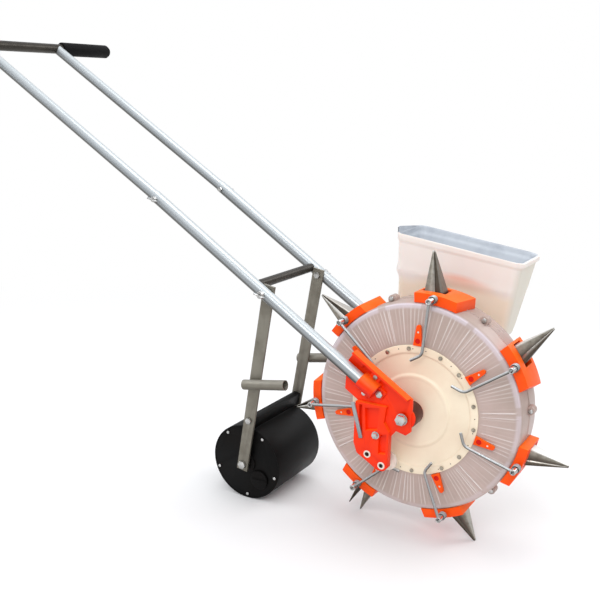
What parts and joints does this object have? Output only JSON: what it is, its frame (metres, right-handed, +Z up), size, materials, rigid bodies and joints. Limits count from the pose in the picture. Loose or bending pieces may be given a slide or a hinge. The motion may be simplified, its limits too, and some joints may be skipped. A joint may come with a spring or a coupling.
{
  "type": "rolling row dibber seed sower",
  "caption": "Hand-pushed seed sower with a beaked drum wheel, side hopper, tube handle and a trailing press roller on two arms.",
  "frame": {"origin": "on the ground under the middle of the machine's outer box", "axes": "+X the way it is pushed, +Y away from the side with the levers, +Z up"},
  "size_m": [1.3876, 0.58, 0.9766],
  "materials": {
    "tube_zinc": "bright zinc",
    "dull_steel": "dull grey galvanised",
    "beak_steel": "worn grey",
    "zinc_fastener": "bright",
    "bracket_red": "gloss orange red",
    "holder_orange": "orange",
    "drum_clear": "clear",
    "plate_cream": "cream",
    "hub_steel": "dark",
    "roller_black": "gloss black",
    "hopper_white": "warm white",
    "grip_rubber": "matt black",
    "dark_steel": "dark",
    "bush_nylon": "white"
  },
  "bodies": {
    "frame": {"near_bracket": "bracket_red", "far_bracket": "bracket_red", "tube_clamps": "bracket_red", "bracket_screws": "zinc_fastener", "bracket_bushes": "bush_nylon", "axle": "hub_steel", "axle_nuts": "zinc_fastener", "striker_pin": "zinc_fastener", "guide_strip": "tube_zinc", "near_lower_tube": "tube_zinc", "far_lower_tube": "tube_zinc", "near_upper_tube": "tube_zinc", "far_upper_tube": "tube_zinc", "handlebar": "dark_steel", "hand_grips": "grip_rubber", "cross_tube": "dark_steel", "splice_bolts": "zinc_fastener", "hopper": "hopper_white", "hopper_spout": "hopper_white"},
    "striker": {"striker_roller": "bush_nylon"},
    "press_frame": {"near_arm": "dull_steel", "far_arm": "dull_steel", "arm_bolts": "zinc_fastener", "roller_axle": "zinc_fastener", "scraper": "roller_black"},
    "press_roller": {"roller_drum": "roller_black", "roller_end_caps": "roller_black", "roller_cap_screws": "zinc_fastener", "filler_plug": "roller_black"},
    "wheel": {"near_drum_shell": "drum_clear", "far_drum_shell": "drum_clear", "drum_bolts": "zinc_fastener", "near_cover_plate": "plate_cream", "far_cover_plate": "plate_cream", "plate_screws": "zinc_fastener", "wheel_hub": "hub_steel", "wheel_bearings": "bush_nylon", "seed_gates": "holder_orange", "beak_springs": "zinc_fastener", "beak_holder_1": "holder_orange", "beak_holder_2": "holder_orange", "beak_holder_3": "holder_orange", "beak_holder_4": "holder_orange", "beak_holder_5": "holder_orange", "beak_holder_6": "holder_orange", "beak_holder_7": "holder_orange", "fixed_beak_1": "beak_steel", "fixed_beak_2": "beak_steel", "fixed_beak_3": "beak_steel", "fixed_beak_4": "beak_steel", "fixed_beak_5": "beak_steel", "fixed_beak_6": "beak_steel", "fixed_beak_7": "beak_steel"},
    "beak_1": {"moving_beak_1": "beak_steel"},
    "beak_2": {"moving_beak_2": "beak_steel"},
    "beak_3": {"moving_beak_3": "beak_steel"},
    "beak_4": {"moving_beak_4": "beak_steel"},
    "beak_5": {"moving_beak_5": "beak_steel"},
    "beak_6": {"moving_beak_6": "beak_steel"},
    "beak_7": {"moving_beak_7": "beak_steel"}
  },
  "joints": [
    {"name": "wheel_spin", "type": "hinge", "parent": "frame", "child": "wheel", "pos_m": [0.39129, 0, 0.2793], "axis": [0, 1, 0], "continuous": true},
    {"name": "striker_spin", "type": "hinge", "parent": "frame", "child": "striker", "pos_m": [0.35429, -0.08, 0.1733], "axis": [0, 1, 0], "continuous": true},
    {"name": "press_frame_swing", "type": "hinge", "parent": "frame", "child": "press_frame", "pos_m": [0.08047, 0, 0.48932], "axis": [0, 1, 0], "range_deg": [-2, 25]},
    {"name": "press_roller_spin", "type": "hinge", "parent": "press_frame", "child": "press_roller", "pos_m": [0.00939, 0, 0.088], "axis": [0, 1, 0], "continuous": true},
    {"name": "beak_1_open", "type": "hinge", "parent": "wheel", "child": "beak_1", "pos_m": [0.41539, 0, 0.5067], "axis": [0, 1, 0], "range_deg": [0, 20], "stiffness_Nm_per_rad": 0.6},
    {"name": "beak_2_open", "type": "hinge", "parent": "wheel", "child": "beak_2", "pos_m": [0.5841, 0, 0.40224], "axis": [0, 1, 0], "range_deg": [0, 20], "stiffness_Nm_per_rad": 0.6},
    {"name": "beak_3_open", "type": "hinge", "parent": "wheel", "child": "beak_3", "pos_m": [0.60763, 0, 0.2052], "axis": [0, 1, 0], "range_deg": [0, 20], "stiffness_Nm_per_rad": 0.6},
    {"name": "beak_4_open", "type": "hinge", "parent": "wheel", "child": "beak_4", "pos_m": [0.46824, 0, 0.06396], "axis": [0, 1, 0], "range_deg": [0, 20], "stiffness_Nm_per_rad": 0.6},
    {"name": "beak_5_open", "type": "hinge", "parent": "wheel", "child": "beak_5", "pos_m": [0.27091, 0, 0.08488], "axis": [0, 1, 0], "range_deg": [-18.5, 1.5], "stiffness_Nm_per_rad": 0.6},
    {"name": "beak_6_open", "type": "hinge", "parent": "wheel", "child": "beak_6", "pos_m": [0.16423, 0, 0.2522], "axis": [0, 1, 0], "range_deg": [0, 20], "stiffness_Nm_per_rad": 0.6},
    {"name": "beak_7_open", "type": "hinge", "parent": "wheel", "child": "beak_7", "pos_m": [0.22853, 0, 0.43992], "axis": [0, 1, 0], "range_deg": [0, 20], "stiffness_Nm_per_rad": 0.6}
  ]
}
